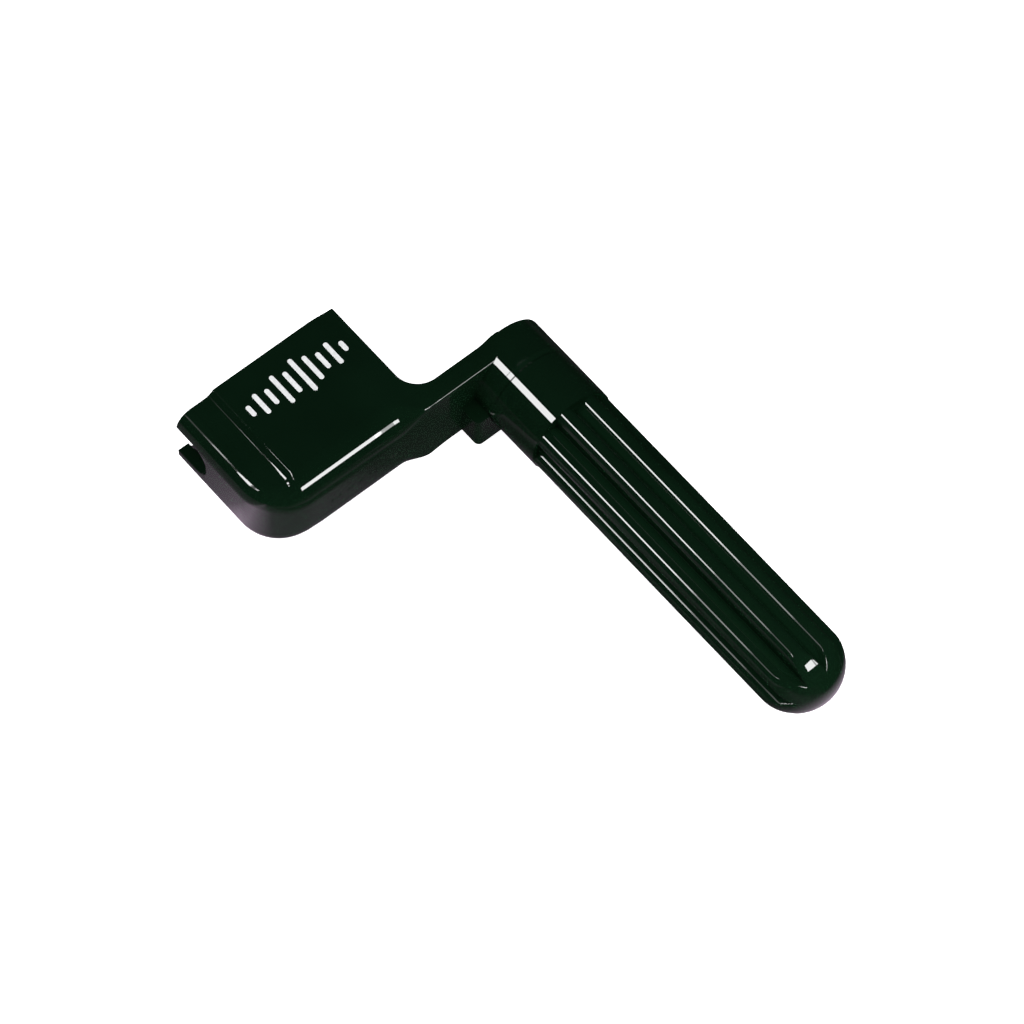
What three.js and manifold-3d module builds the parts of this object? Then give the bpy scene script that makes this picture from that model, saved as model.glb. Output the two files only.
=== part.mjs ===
// Guitar string winder. Millimetres, +Z up.
// +X runs along the turning grip, the peg head lies on the -Y side, the socket opens toward -X.
import * as THREE from 'three';
import * as BufferGeometryUtils from 'three/addons/utils/BufferGeometryUtils.js';
import Module from 'manifold-3d';

const wasm = await Module();
wasm.setup();

// ---- grip and hub ----
const GRIP_RADIUS = 9.0;            // neck of the grip and of the hub collar
const AXIS_Z = GRIP_RADIUS;         // height of the turning axis above the table
const GRIP_TIP = 90.5;              // dome end, measured from the back of the hub
const HUB_LENGTH = 7.6;
const HUB_BACK_RADIUS = 1.1;
const RING_START = 7.9;
const RING_END = 8.6;
const RING_RADIUS = 8.95;
const GRIP_START = 8.9;
const DOME_START = 81.7;
const DOME_RADIUS = 8.6;            // the grip tapers to this where the dome begins
const DOME_POWER = 2.12;            // superellipse exponent of the dome

// ---- ribs of the grip: round rods side by side with V grooves between them ----
const RIBS = 8;
const RIB_RADIUS = 1.95;
const RIB_CENTRE = 6.85;            // distance of a rod's centre from the axis
const RIB_FLANK = THREE.MathUtils.degToRad(80); // where the rod turns into the groove's flat side
const GROOVE_FILLET = 0.3;
const RIB_START = 20.2;             // the grooves run out over GROOVE_RUNOUT at both ends
const RIB_END = 84.0;
const GROOVE_RUNOUT = 1.4;
const RIB_PHASE = THREE.MathUtils.degToRad(12.4); // one rib crest, from +Z toward -Y

// ---- axle ----
const AXLE_RADIUS = 3.0;
const AXLE_START = 1.9;
const AXLE_END = 60.0;
const AXLE_HEAD_CHAMFER = 0.8;
const SOCKET_CLEARANCE = 0.3;
const BORE_CLEARANCE = 0.45;
const CLIP_CENTRE = 54.0;
const CLIP_THICKNESS = 1.0;
const CLIP_GROOVE_RADIUS = 2.1;
const CLIP_INNER = 2.45;
const CLIP_OUTER = 4.0;
const CLIP_POCKET_RADIUS = 4.6;
const CLIP_POCKET_HALF = 1.0;

// ---- peg head, arm and lug (X from hub back, Y from the axis) ----
const HEAD_LEFT = -55.7;            // outer end wall
const HEAD_RIGHT = -20.05;
const RIM_X = -23.25;               // mouth of the socket
const BASE_X = 4.06;                // outer base wall, flush with the front of the arm
const ARM_BACK_X = -0.19;
const PLATE_HALF = 7.9;             // half height of arm and end section
const PANEL_HALF = 8.88;            // half height of the raised panel
const PANEL_LEFT = -49.0;
const PANEL_STEP = 2.2;             // length of the slope up to the raised panel
const END_ROUND = 4.35;             // roundings where the faces meet the side walls
const BASE_ROUND = 4.9;
const RIGHT_ROUND = 1.2;
const CORNER_RADIUS = 9.4;          // upright corner between end wall and base
const ARM_FILLET = 5.0;
const EDGE = 0.3;
const BLEND_START = -24.5;          // base rounding dies away between these two
const BLEND_END = -17.5;
const WALL = 2.4;
const FLOOR = 2.6;
const CAVITY_CORNER = 2.4;
const NOTCH_HALF = 4.45;
const NOTCH_DEPTH = 8.3;
const NOTCH_CORNER = 3.3;
const LUG_LEFT = -11.8;
const LUG_FRONT = 8.4;
const LUG_TOP = -0.6;

const black = (name, color, roughness) =>
  new THREE.MeshStandardMaterial({ name, color, roughness, metalness: 0 });
const steel = (name, color) =>
  new THREE.MeshStandardMaterial({ name, color, roughness: 0.35, metalness: 1 });

function weld(geometry) {
  const plain = geometry.index ? geometry.toNonIndexed() : geometry.clone();
  for (const key of Object.keys(plain.attributes)) {
    if (key !== 'position') plain.deleteAttribute(key);
  }
  return BufferGeometryUtils.mergeVertices(plain, 1e-4);
}

function solid(geometry) {
  const g = weld(geometry);
  const source = g.index.array;
  const tris = [];
  for (let i = 0; i < source.length; i += 3) {
    const [a, b, c] = [source[i], source[i + 1], source[i + 2]];
    if (a !== b && b !== c && a !== c) tris.push(a, b, c);
  }
  return new wasm.Manifold(new wasm.Mesh({
    numProp: 3,
    vertProperties: new Float32Array(g.attributes.position.array),
    triVerts: new Uint32Array(tris),
  }));
}

function toGeometry(body) {
  const mesh = body.getMesh();
  const g = new THREE.BufferGeometry();
  g.setAttribute('position', new THREE.BufferAttribute(new Float32Array(mesh.vertProperties), 3));
  g.setIndex(new THREE.BufferAttribute(new Uint32Array(mesh.triVerts), 1));
  const flat = g.toNonIndexed();
  flat.computeVertexNormals();
  return flat;
}

// Skin over rows of equally many points; each row is a closed loop.
function gridGeometry(rows) {
  const triangles = [];
  const put = (a, b, c) => triangles.push(...a, ...b, ...c);
  for (let i = 0; i < rows.length - 1; i += 1) {
    const lower = rows[i];
    const upper = rows[i + 1];
    for (let j = 0; j < lower.length; j += 1) {
      const k = (j + 1) % lower.length;
      put(lower[j], lower[k], upper[k]);
      put(lower[j], upper[k], upper[j]);
    }
  }
  return { triangles, put };
}

function fromTriangles(triangles) {
  const g = new THREE.BufferGeometry();
  g.setAttribute('position', new THREE.BufferAttribute(new Float32Array(triangles), 3));
  return g;
}

// Lathe about X. Profile is [x, radius] pairs starting and ending on the axis.
function lathe(profile, segments = 48) {
  const points = profile.map(([x, radius]) => new THREE.Vector2(radius, x));
  const g = new THREE.LatheGeometry(points, segments);
  g.rotateZ(-Math.PI / 2);
  return g;
}

function arc(cx, cy, radius, from, to, steps) {
  const points = [];
  for (let i = 0; i <= steps; i += 1) {
    const t = from + ((to - from) * i) / steps;
    points.push([cx + radius * Math.cos(t), cy + radius * Math.sin(t)]);
  }
  return points;
}

const HALF_PI = Math.PI / 2;
const smooth = (t) => {
  const c = Math.min(1, Math.max(0, t));
  return c * c * (3 - 2 * c);
};

// Slab centred on the axis height, seen from above as `outline`
// (counter-clockwise points {x, y, nx, ny, round}), its top and bottom edges rounded.
function roundedSlab(outline, half, steps = 6) {
  const rows = [];
  const angles = [];
  for (let i = 0; i <= steps; i += 1) angles.push((HALF_PI * i) / steps);
  const ring = (sign, angle) => outline.map((p) => {
    const inset = p.round * (1 - Math.cos(angle));
    const z = sign * (half - p.round * (1 - Math.sin(angle)));
    return [p.x - p.nx * inset, p.y - p.ny * inset, z];
  });
  for (const angle of [...angles].reverse()) rows.push(ring(-1, angle));
  for (const angle of angles) rows.push(ring(1, angle));
  const { triangles, put } = gridGeometry(rows);
  const caps = [[rows[0], true], [rows[rows.length - 1], false]];
  for (const [row, flip] of caps) {
    const flat = row.map((p) => new THREE.Vector2(p[0], p[1]));
    for (const [a, b, c] of THREE.ShapeUtils.triangulateShape(flat, [])) {
      if (flip) put(row[a], row[c], row[b]);
      else put(row[a], row[b], row[c]);
    }
  }
  return fromTriangles(triangles);
}

// Outline from corners {x, y, r}: r > 0 rounds the corner, concave or convex.
function outlineFrom(corners, roundAt, spacing = 2.2) {
  const points = [];
  const n = corners.length;
  const place = (x, y, nx, ny) => points.push({ x, y, nx, ny, round: roundAt(x, y, nx, ny) });
  const tangents = corners.map((c, i) => {
    const before = corners[(i + n - 1) % n];
    const after = corners[(i + 1) % n];
    const a = new THREE.Vector2(c.x - before.x, c.y - before.y).normalize();
    const b = new THREE.Vector2(after.x - c.x, after.y - c.y).normalize();
    return { a, b, c };
  });
  tangents.forEach(({ a, b, c }, i) => {
    const turn = Math.sign(a.x * b.y - a.y * b.x);
    const start = new THREE.Vector2(c.x - a.x * c.r, c.y - a.y * c.r);
    const centre = new THREE.Vector2(start.x - a.y * c.r * turn, start.y + a.x * c.r * turn);
    const steps = c.r > 2 ? 7 : 2;
    for (let k = 0; k <= steps; k += 1) {
      const t = (turn * HALF_PI * k) / steps;
      const nx = a.y * Math.cos(t) + a.x * Math.sin(t);
      const ny = -a.x * Math.cos(t) + a.y * Math.sin(t);
      place(centre.x + nx * c.r * turn, centre.y + ny * c.r * turn, nx, ny);
    }
    const next = tangents[(i + 1) % n].c;
    const from = new THREE.Vector2(c.x + b.x * c.r, c.y + b.y * c.r);
    const to = new THREE.Vector2(next.x - b.x * next.r, next.y - b.y * next.r);
    const length = from.distanceTo(to);
    const pieces = Math.max(1, Math.round(length / spacing));
    for (let k = 1; k < pieces; k += 1) {
      const t = k / pieces;
      place(from.x + (to.x - from.x) * t, from.y + (to.y - from.y) * t, b.y, -b.x);
    }
  });
  return points;
}

function box(x0, x1, y0, y1, z0, z1) {
  const g = new THREE.BoxGeometry(x1 - x0, y1 - y0, z1 - z0);
  g.translate((x0 + x1) / 2, (y0 + y1) / 2, (z0 + z1) / 2);
  return g;
}

// Prism along X whose section in Y-Z is a rounded rectangle.
function roundedPrismX(x0, x1, y0, y1, halfZ, radius) {
  const shape = new THREE.Shape();
  const [w0, w1] = [y0, y1];
  shape.moveTo(w0 + radius, -halfZ);
  shape.lineTo(w1 - radius, -halfZ);
  shape.absarc(w1 - radius, -halfZ + radius, radius, -HALF_PI, 0, false);
  shape.lineTo(w1, halfZ - radius);
  shape.absarc(w1 - radius, halfZ - radius, radius, 0, HALF_PI, false);
  shape.lineTo(w0 + radius, halfZ);
  shape.absarc(w0 + radius, halfZ - radius, radius, HALF_PI, Math.PI, false);
  shape.lineTo(w0, -halfZ + radius);
  shape.absarc(w0 + radius, -halfZ + radius, radius, Math.PI, 1.5 * Math.PI, false);
  return extrudeX(shape, x0, x1, 5);
}

// Extrudes a shape drawn in Y-Z along X.
function extrudeX(shape, x0, x1, curveSegments = 12) {
  const g = new THREE.ExtrudeGeometry(shape, { depth: x1 - x0, bevelEnabled: false, curveSegments });
  g.applyMatrix4(new THREE.Matrix4().makeBasis(
    new THREE.Vector3(0, 1, 0),
    new THREE.Vector3(0, 0, 1),
    new THREE.Vector3(1, 0, 0),
  ));
  g.translate(x0, 0, 0);
  return g;
}

function crankBody() {
  const overrun = 8;
  const baseRounding = (x, y, nx, ny) => {
    if (x > BASE_X - CORNER_RADIUS - 0.01 && nx > 0.02) {
      const fade = 1 - smooth((y - BLEND_START) / (BLEND_END - BLEND_START));
      const along = smooth((y - HEAD_LEFT) / CORNER_RADIUS);
      const full = END_ROUND + (BASE_ROUND - END_ROUND) * along;
      return EDGE + (full - EDGE) * fade;
    }
    if (ny < 0) return EDGE + (END_ROUND - EDGE) * smooth(-ny);
    if (ny > 0 && y < HEAD_RIGHT + 0.01) return EDGE + (RIGHT_ROUND - EDGE) * smooth(ny);
    return EDGE;
  };
  // seen from above, counter-clockwise with +X right and +Y up
  const plate = outlineFrom([
    { x: RIM_X - overrun, y: HEAD_LEFT, r: END_ROUND + 0.5 },
    { x: BASE_X, y: HEAD_LEFT, r: CORNER_RADIUS },
    { x: BASE_X, y: 0, r: 0.5 },
    { x: ARM_BACK_X, y: 0, r: 0.5 },
    { x: ARM_BACK_X, y: HEAD_RIGHT, r: ARM_FILLET },
    { x: RIM_X - overrun, y: HEAD_RIGHT, r: RIGHT_ROUND + 0.5 },
  ], baseRounding);
  const panelFront = BASE_ROUND + 0.6;
  const panelRounding = (x, y, nx) => EDGE + (panelFront - EDGE) * smooth(nx);
  const panel = outlineFrom([
    { x: RIM_X - overrun, y: PANEL_LEFT - 6, r: 2 },
    { x: BASE_X, y: PANEL_LEFT - 6, r: panelFront + 0.2 },
    { x: BASE_X, y: HEAD_RIGHT - 1, r: panelFront + 0.2 },
    { x: RIM_X - overrun, y: HEAD_RIGHT, r: 2 },
  ], panelRounding);
  const slope = new THREE.Shape();
  slope.moveTo(PANEL_LEFT, -PLATE_HALF + 0.1);
  slope.lineTo(PANEL_LEFT + PANEL_STEP, -PANEL_HALF - 0.1);
  slope.lineTo(0, -PANEL_HALF - 0.1);
  slope.lineTo(0, PANEL_HALF + 0.1);
  slope.lineTo(PANEL_LEFT + PANEL_STEP, PANEL_HALF + 0.1);
  slope.lineTo(PANEL_LEFT, PLATE_HALF - 0.1);

  let body = solid(roundedSlab(plate, PLATE_HALF));
  const raised = solid(roundedSlab(panel, PANEL_HALF));
  body = body.add(raised.intersect(solid(extrudeX(slope, RIM_X - 20, BASE_X + 5))));

  const back = arc(HUB_BACK_RADIUS, GRIP_RADIUS - HUB_BACK_RADIUS - 0.05, HUB_BACK_RADIUS,
    Math.PI, HALF_PI, 4);
  body = body.add(solid(lathe([
    [0, 0],
    ...back,
    [HUB_LENGTH - 0.2, GRIP_RADIUS - 0.05],
    [HUB_LENGTH, GRIP_RADIUS - 0.25],
    [HUB_LENGTH, 0],
  ], 64)));
  body = body.add(solid(roundedPrismX(1, LUG_FRONT - 0.8, LUG_LEFT, 0, 4, 0.4)
    .translate(0, 0, LUG_TOP - 3.4)));

  // mouth plane, peg socket, bridge-pin notch, axle socket
  body = body.subtract(solid(box(RIM_X - 20, RIM_X, HEAD_LEFT - 5, HEAD_RIGHT + 5, -20, 20)));
  body = body.subtract(solid(roundedPrismX(RIM_X - 5, BASE_X - FLOOR,
    HEAD_LEFT + WALL, HEAD_RIGHT - WALL, PLATE_HALF - WALL, CAVITY_CORNER)));
  const notch = roundedPrismX(HEAD_LEFT - 3, HEAD_LEFT + WALL + 2.5,
    -RIM_X - NOTCH_DEPTH, -RIM_X + 9, NOTCH_HALF, NOTCH_CORNER);
  notch.rotateZ(HALF_PI);
  body = body.subtract(solid(notch));
  body = body.subtract(solid(lathe([
    [AXLE_START - SOCKET_CLEARANCE, 0],
    [AXLE_START - SOCKET_CLEARANCE, AXLE_RADIUS + SOCKET_CLEARANCE],
    [HUB_LENGTH + 2, AXLE_RADIUS + SOCKET_CLEARANCE],
    [HUB_LENGTH + 2, 0],
  ], 32)));
  return toGeometry(body);
}

function axlePin() {
  const half = CLIP_THICKNESS / 2 + 0.3;
  return lathe([
    [AXLE_START, 0],
    [AXLE_START, AXLE_RADIUS - 0.4],
    [AXLE_START + 0.4, AXLE_RADIUS],
    [CLIP_CENTRE - half, AXLE_RADIUS],
    [CLIP_CENTRE - half, CLIP_GROOVE_RADIUS],
    [CLIP_CENTRE + half, CLIP_GROOVE_RADIUS],
    [CLIP_CENTRE + half, AXLE_RADIUS],
    [AXLE_END - AXLE_HEAD_CHAMFER, AXLE_RADIUS],
    [AXLE_END, AXLE_RADIUS - AXLE_HEAD_CHAMFER],
    [AXLE_END, 0],
  ], 40);
}

function thrustRing() {
  const inner = AXLE_RADIUS + SOCKET_CLEARANCE;
  return lathe([
    [RING_START, inner],
    [RING_START, RING_RADIUS - 0.15],
    [RING_START + 0.15, RING_RADIUS],
    [RING_END - 0.15, RING_RADIUS],
    [RING_END, RING_RADIUS - 0.15],
    [RING_END, inner],
    [RING_START, inner],
  ], 48);
}

function retainingClip() {
  const gap = THREE.MathUtils.degToRad(28);
  const shape = new THREE.Shape();
  shape.absarc(0, 0, CLIP_OUTER, gap, 2 * Math.PI - gap, false);
  shape.absarc(0, 0, CLIP_INNER, 2 * Math.PI - gap, gap, true);
  shape.closePath();
  const g = new THREE.ExtrudeGeometry(shape, {
    depth: CLIP_THICKNESS,
    bevelEnabled: false,
    curveSegments: 28,
  });
  g.rotateY(HALF_PI);
  g.translate(CLIP_CENTRE - CLIP_THICKNESS / 2, 0, 0);
  return g;
}

function gripRadiusAt(x) {
  const along = Math.min(1, (x - GRIP_START) / (DOME_START - GRIP_START));
  const plain = GRIP_RADIUS + (DOME_RADIUS - GRIP_RADIUS) * along;
  const dome = (x - DOME_START) / (GRIP_TIP - DOME_START);
  if (dome <= 0) return plain;
  return plain * (1 - dome ** DOME_POWER) ** (1 / DOME_POWER);
}

// One side of a rib from its crest to the middle of the groove, as [angle, radius] about the axis.
function ribProfile() {
  const halfPitch = Math.PI / RIBS;
  const side = [];
  const polar = (radial, across) => side.push([Math.atan2(across, radial), Math.hypot(across, radial)]);
  for (const share of [0, 0.25, 0.5, 0.75, 1]) {
    const turn = RIB_FLANK * share;
    polar(RIB_CENTRE + RIB_RADIUS * Math.cos(turn), RIB_RADIUS * Math.sin(turn));
  }
  const reach = RIB_CENTRE * Math.cos(RIB_FLANK) + RIB_RADIUS + GROOVE_FILLET;
  const centre = reach / Math.cos(RIB_FLANK - halfPitch);
  polar(
    centre * Math.cos(halfPitch) - GROOVE_FILLET * Math.cos(RIB_FLANK),
    centre * Math.sin(halfPitch) - GROOVE_FILLET * Math.sin(RIB_FLANK),
  );
  side.push([halfPitch, centre - GROOVE_FILLET]);
  return side;
}

function grip() {
  const side = ribProfile();
  const mirrored = side.slice(1, -1).reverse().map(([angle, radius]) => [-angle, radius]);
  const columns = [];
  for (let k = 0; k < RIBS; k += 1) {
    const crest = RIB_PHASE + (2 * Math.PI * k) / RIBS;
    for (const [angle, radius] of [...mirrored, ...side]) {
      columns.push({ angle: crest + angle, ribRadius: radius });
    }
  }
  const around = columns.length;
  const stations = [];
  const add = (x, radius, depth) => stations.push({ x, radius, depth });
  const edge = 0.35;
  add(GRIP_START, GRIP_RADIUS - edge, 0);
  add(GRIP_START + edge * 0.3, GRIP_RADIUS - edge * 0.3, 0);
  add(GRIP_START + edge, GRIP_RADIUS, 0);
  for (const t of [0, 0.3, 0.6, 0.85, 1]) {
    const x = RIB_START + GROOVE_RUNOUT * t;
    add(x, gripRadiusAt(x), smooth(t));
  }
  for (const x of [40, 58, 72, DOME_START - 0.5]) add(x, gripRadiusAt(x), 1);
  for (const t of [0, 0.25, 0.5, 0.75, 1]) {
    const x = RIB_END - GROOVE_RUNOUT * (1 - t);
    add(x, gripRadiusAt(x), 1 - smooth(t));
  }
  for (const t of [0.15, 0.35, 0.55, 0.72, 0.86, 0.95, 0.99]) {
    const x = RIB_END + (GRIP_TIP - RIB_END) * t;
    add(x, gripRadiusAt(x), 0);
  }
  const outer = stations.map((s) => {
    const loop = [];
    for (const { angle, ribRadius } of columns) {
      const ribbed = Math.min(s.radius, ribRadius);
      const radius = s.radius + (ribbed - s.radius) * s.depth;
      loop.push([s.x, -radius * Math.sin(angle), radius * Math.cos(angle)]);
    }
    return loop;
  });
  const bore = AXLE_RADIUS + BORE_CLEARANCE;
  const boreEnd = AXLE_END + 1.6;
  const inner = [
    [GRIP_START, bore + 0.5],
    [GRIP_START + 0.5, bore],
    [CLIP_CENTRE - CLIP_POCKET_HALF, bore],
    [CLIP_CENTRE - CLIP_POCKET_HALF, CLIP_POCKET_RADIUS],
    [CLIP_CENTRE + CLIP_POCKET_HALF, CLIP_POCKET_RADIUS],
    [CLIP_CENTRE + CLIP_POCKET_HALF, bore],
    [boreEnd, bore],
  ].map(([x, radius]) => {
    return columns.map(({ angle }) => [x, -radius * Math.sin(angle), radius * Math.cos(angle)]);
  });
  const rows = [...inner].reverse().concat(outer);
  const { triangles, put } = gridGeometry(rows);
  const closeEnd = (loop, x, flip) => {
    for (let j = 0; j < around; j += 1) {
      const k = (j + 1) % around;
      if (flip) put([x, 0, 0], loop[k], loop[j]);
      else put([x, 0, 0], loop[j], loop[k]);
    }
  };
  closeEnd(rows[0], boreEnd, true);
  closeEnd(rows[rows.length - 1], GRIP_TIP, false);
  return fromTriangles(triangles);
}

const winder = new THREE.Group();
winder.name = 'string_winder';
const MID_X = (RIM_X + GRIP_TIP) / 2;
const MID_Y = (HEAD_LEFT + GRIP_RADIUS) / 2;

function addNode(name, geometry, material) {
  geometry.translate(-MID_X, -MID_Y, AXIS_Z);
  geometry.computeVertexNormals();
  const mesh = new THREE.Mesh(geometry, material);
  mesh.name = name;
  winder.add(mesh);
}

addNode('crank_body', crankBody(), black('gloss_plastic', 0x0b0c0c, 0.15));
addNode('axle_pin', axlePin(), steel('steel', 0x9a9da0));
addNode('thrust_ring', thrustRing(), black('ring_plastic', 0x101112, 0.25));
addNode('retaining_clip', retainingClip(), steel('spring_steel', 0x6f7275));
addNode('grip', grip(), black('gloss_plastic', 0x0b0c0c, 0.15));

export default winder;
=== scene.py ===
import math

import bmesh
import bpy
from mathutils import Matrix, Vector


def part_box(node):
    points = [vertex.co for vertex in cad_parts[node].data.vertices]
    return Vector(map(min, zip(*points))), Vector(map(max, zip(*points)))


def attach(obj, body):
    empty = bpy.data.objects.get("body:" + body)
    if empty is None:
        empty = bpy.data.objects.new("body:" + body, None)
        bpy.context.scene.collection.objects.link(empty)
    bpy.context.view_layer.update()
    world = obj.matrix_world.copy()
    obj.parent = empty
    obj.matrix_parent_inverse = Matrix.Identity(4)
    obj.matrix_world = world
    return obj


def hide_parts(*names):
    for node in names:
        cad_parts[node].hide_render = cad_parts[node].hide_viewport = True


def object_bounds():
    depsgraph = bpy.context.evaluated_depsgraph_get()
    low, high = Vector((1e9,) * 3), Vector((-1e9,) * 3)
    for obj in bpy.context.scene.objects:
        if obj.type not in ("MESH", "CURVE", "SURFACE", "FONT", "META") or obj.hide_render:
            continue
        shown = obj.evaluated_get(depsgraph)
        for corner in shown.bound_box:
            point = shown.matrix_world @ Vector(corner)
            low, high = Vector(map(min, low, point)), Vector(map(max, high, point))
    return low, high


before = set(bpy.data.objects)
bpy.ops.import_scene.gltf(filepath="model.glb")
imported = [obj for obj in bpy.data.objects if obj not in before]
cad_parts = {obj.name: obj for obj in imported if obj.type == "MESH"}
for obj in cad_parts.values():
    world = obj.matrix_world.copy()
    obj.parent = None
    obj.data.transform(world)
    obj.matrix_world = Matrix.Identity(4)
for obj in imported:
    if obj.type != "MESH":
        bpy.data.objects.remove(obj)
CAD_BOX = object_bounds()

MM = 0.001
GRIP_LOW, GRIP_HIGH = (Vector(c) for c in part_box("grip"))
CRANK_LOW, CRANK_HIGH = (Vector(c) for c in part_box("crank_body"))
AXLE_LOW, AXLE_HIGH = (Vector(c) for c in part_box("axle_pin"))
CLIP_LOW, CLIP_HIGH = (Vector(c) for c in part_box("retaining_clip"))

# Everything below is modelled in millimetres from the middle of the hub's back face:
# X along the grip, Y across (the head lies at -Y), Z up. ORIGIN puts that point in the frame.
GRIP_START = 8.9
ORIGIN = Vector((
    GRIP_LOW.x - GRIP_START * MM,
    (GRIP_LOW.y + GRIP_HIGH.y) / 2,
    (GRIP_LOW.z + GRIP_HIGH.z) / 2,
))


def from_hub(point):
    """A frame position as millimetres from the hub."""
    return (Vector(point) - ORIGIN) / MM


GRIP_RADIUS = (GRIP_HIGH.z - GRIP_LOW.z) / 2 / MM
GRIP_TIP = from_hub(GRIP_HIGH).x
RIM_X = from_hub(CRANK_LOW).x
HEAD_LEFT = from_hub(CRANK_LOW).y
HUB_END = from_hub(CRANK_HIGH).x
AXLE_RADIUS = (AXLE_HIGH.z - AXLE_LOW.z) / 2 / MM

# head, arm and hub
HEAD_RIGHT = HEAD_LEFT + 36.0
BASE_X = 4.06
ARM_BACK_X = -0.19
END_HALF = 7.78
ARM_HALF = 8.0
PANEL_HALF = 8.88
PANEL_LEFT = -49.1
STEP_SLOPE = math.radians(38)
STEP_FOOT_RADIUS = 2.1
STEP_CREST_RADIUS = 0.8
PANEL_DROP_START = -25.5
PANEL_DROP_END = -19.2
ARM_RISE_START = -5.0
ARM_RISE_END = -1.0
ARM_TOP_AT_HUB = 8.93
UNDER_RISE_START = -53.0
UNDER_RISE_END = -43.0
UNDER_DROP_START = -21.0
UNDER_DROP_END = -15.0
ARM_UNDER_HALF = 8.3
END_ROUND = 3.4
BASE_ROUND = 5.4
RIGHT_ROUND = 0.3
CORNER_RADIUS = 9.4
ARM_FILLET = 5.0
EDGE = 0.28
ARM_EDGE = 0.55
MOULD_RADIUS = 0.16
BLEND_START = -26.0
BLEND_END = -19.0
OVERRUN = 8.0
WALL = 2.4
FLOOR = 2.6
SOCKET_CORNER = 2.4
SOCKET_FLOOR_ROUND = 1.2
SOCKET_DRAFT = 0.1
NOTCH_LOW = -3.3
NOTCH_HIGH = 4.9
NOTCH_DEPTH = 8.3
NOTCH_CORNER = 3.3
LUG_LEFT = -12.0
LUG_BACK = 1.0
LUG_FRONT = 8.45
LUG_TOP = -0.6
LUG_CORNER = 1.1
LUG_EDGE = 0.3
HUB_RADIUS = GRIP_RADIUS - 0.01
HUB_BACK_ROUND = 0.28
RIM_ROUND = 0.03          # hub and ring, where they meet
ROUND_SEGMENTS = 160
FIT_GAP = 0.12            # between a hole and what goes through it

# generic marks: bars of different lengths on the panel, dashes on the wall
MARK_LEFT = -44.6
MARK_PITCH = 2.35
MARK_X = -15.4
MARK_WIDTH = 0.95
MARK_RAISE = 0.02
MARK_BARS = (1.3, 2.5, 1.9, 3.5, 2.6, 4.1, 3.0, 2.0, 2.7, 1.2)
WALL_LEFT = -41.0
WALL_PITCH = 3.3
WALL_Z = -0.4
WALL_WIDTH = 1.0
WALL_RAISE = 0.1
WALL_BARS = (1.2, 0.7, 1.3, 0.9, 1.3, 0.6)

# grip: round rods side by side with V grooves between them, and a domed end
DOME_START = 81.7
DOME_RADIUS = 8.8
RIBS = 8
RIB_RADIUS = 1.95
RIB_CENTRE = 6.85
RIB_FLANK = math.radians(80)
RIB_SLIM = 0.004          # the rods get this much thinner from SLIM_START on, over SLIM_LENGTH
SLIM_START = 45
SLIM_LENGTH = 36
GROOVE_FILLET = 0.05
RIB_START = 20.2
START_RUNOUT = 0.04
RIB_EDGE = 0.2
RIB_PHASE = math.radians(12.4)
GRIP_LIP = 0.05
SUPPORT = 0.03            # a short band beside a rounding keeps its shading off the next surface
NECK_STEP = 1.0
RIB_STEP = 1.5
DOME_STEPS = 91
BORE_GAP = 0.2
BORE_BEYOND_AXLE = 1.6
BORE_CHAMFER = 0.4
POCKET_RADIUS = 4.55
POCKET_HALF = 0.9


def smooth(t):
    c = min(1.0, max(0.0, t))
    return c * c * (3 - 2 * c)


# ---------------------------------------------------------------- mesh helpers

def to_object(bm, name, scaled=True):
    """A bmesh in hub millimetres becomes an object in the frame."""
    bmesh.ops.recalc_face_normals(bm, faces=bm.faces)
    if scaled:
        bm.transform(Matrix.Translation(ORIGIN) @ Matrix.Scale(MM, 4))
    mesh = bpy.data.meshes.new(name)
    bm.to_mesh(mesh)
    bm.free()
    obj = bpy.data.objects.new(name, mesh)
    bpy.context.scene.collection.objects.link(obj)
    return obj


def loft(bm, rows, closed=True):
    """Quads between rows of equally many points; returns the rows of vertices."""
    grid = [[bm.verts.new(p) for p in row] for row in rows]
    count = len(rows[0])
    for lower, upper in zip(grid, grid[1:]):
        for j in range(count if closed else count - 1):
            k = (j + 1) % count
            bm.faces.new((lower[j], lower[k], upper[k], upper[j]))
    return grid


def lathe(bm, profile, segments):
    """Surface of revolution about X; profile points are (x, radius), and radius 0 closes an end."""
    rows = []
    for x, radius in profile:
        if radius > 0:
            rows.append([(x,
                          -radius * math.sin(2 * math.pi * j / segments),
                          radius * math.cos(2 * math.pi * j / segments))
                         for j in range(segments)])
    grid = loft(bm, rows)
    if profile[0][1] == 0:
        bm.faces.new(grid[0])
    if profile[-1][1] == 0:
        bm.faces.new(reversed(grid[-1]))
    if profile[0] == profile[-1]:
        bmesh.ops.remove_doubles(bm, verts=bm.verts, dist=1e-5)


def arc(cx, cy, radius, start, end, steps):
    """Points of a circular arc."""
    return [(cx + radius * math.cos(start + (end - start) * i / steps),
             cy + radius * math.sin(start + (end - start) * i / steps))
            for i in range(steps + 1)]


def combine(base, tool, operation):
    """Applies one boolean and throws the tool away."""
    modifier = base.modifiers.new("combine", "BOOLEAN")
    modifier.operation = operation
    modifier.solver = "EXACT"
    modifier.object = tool
    depsgraph = bpy.context.evaluated_depsgraph_get()
    mesh = bpy.data.meshes.new_from_object(base.evaluated_get(depsgraph))
    base.modifiers.clear()
    old = base.data
    base.data = mesh
    bpy.data.meshes.remove(old)
    bpy.data.objects.remove(tool)


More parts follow.
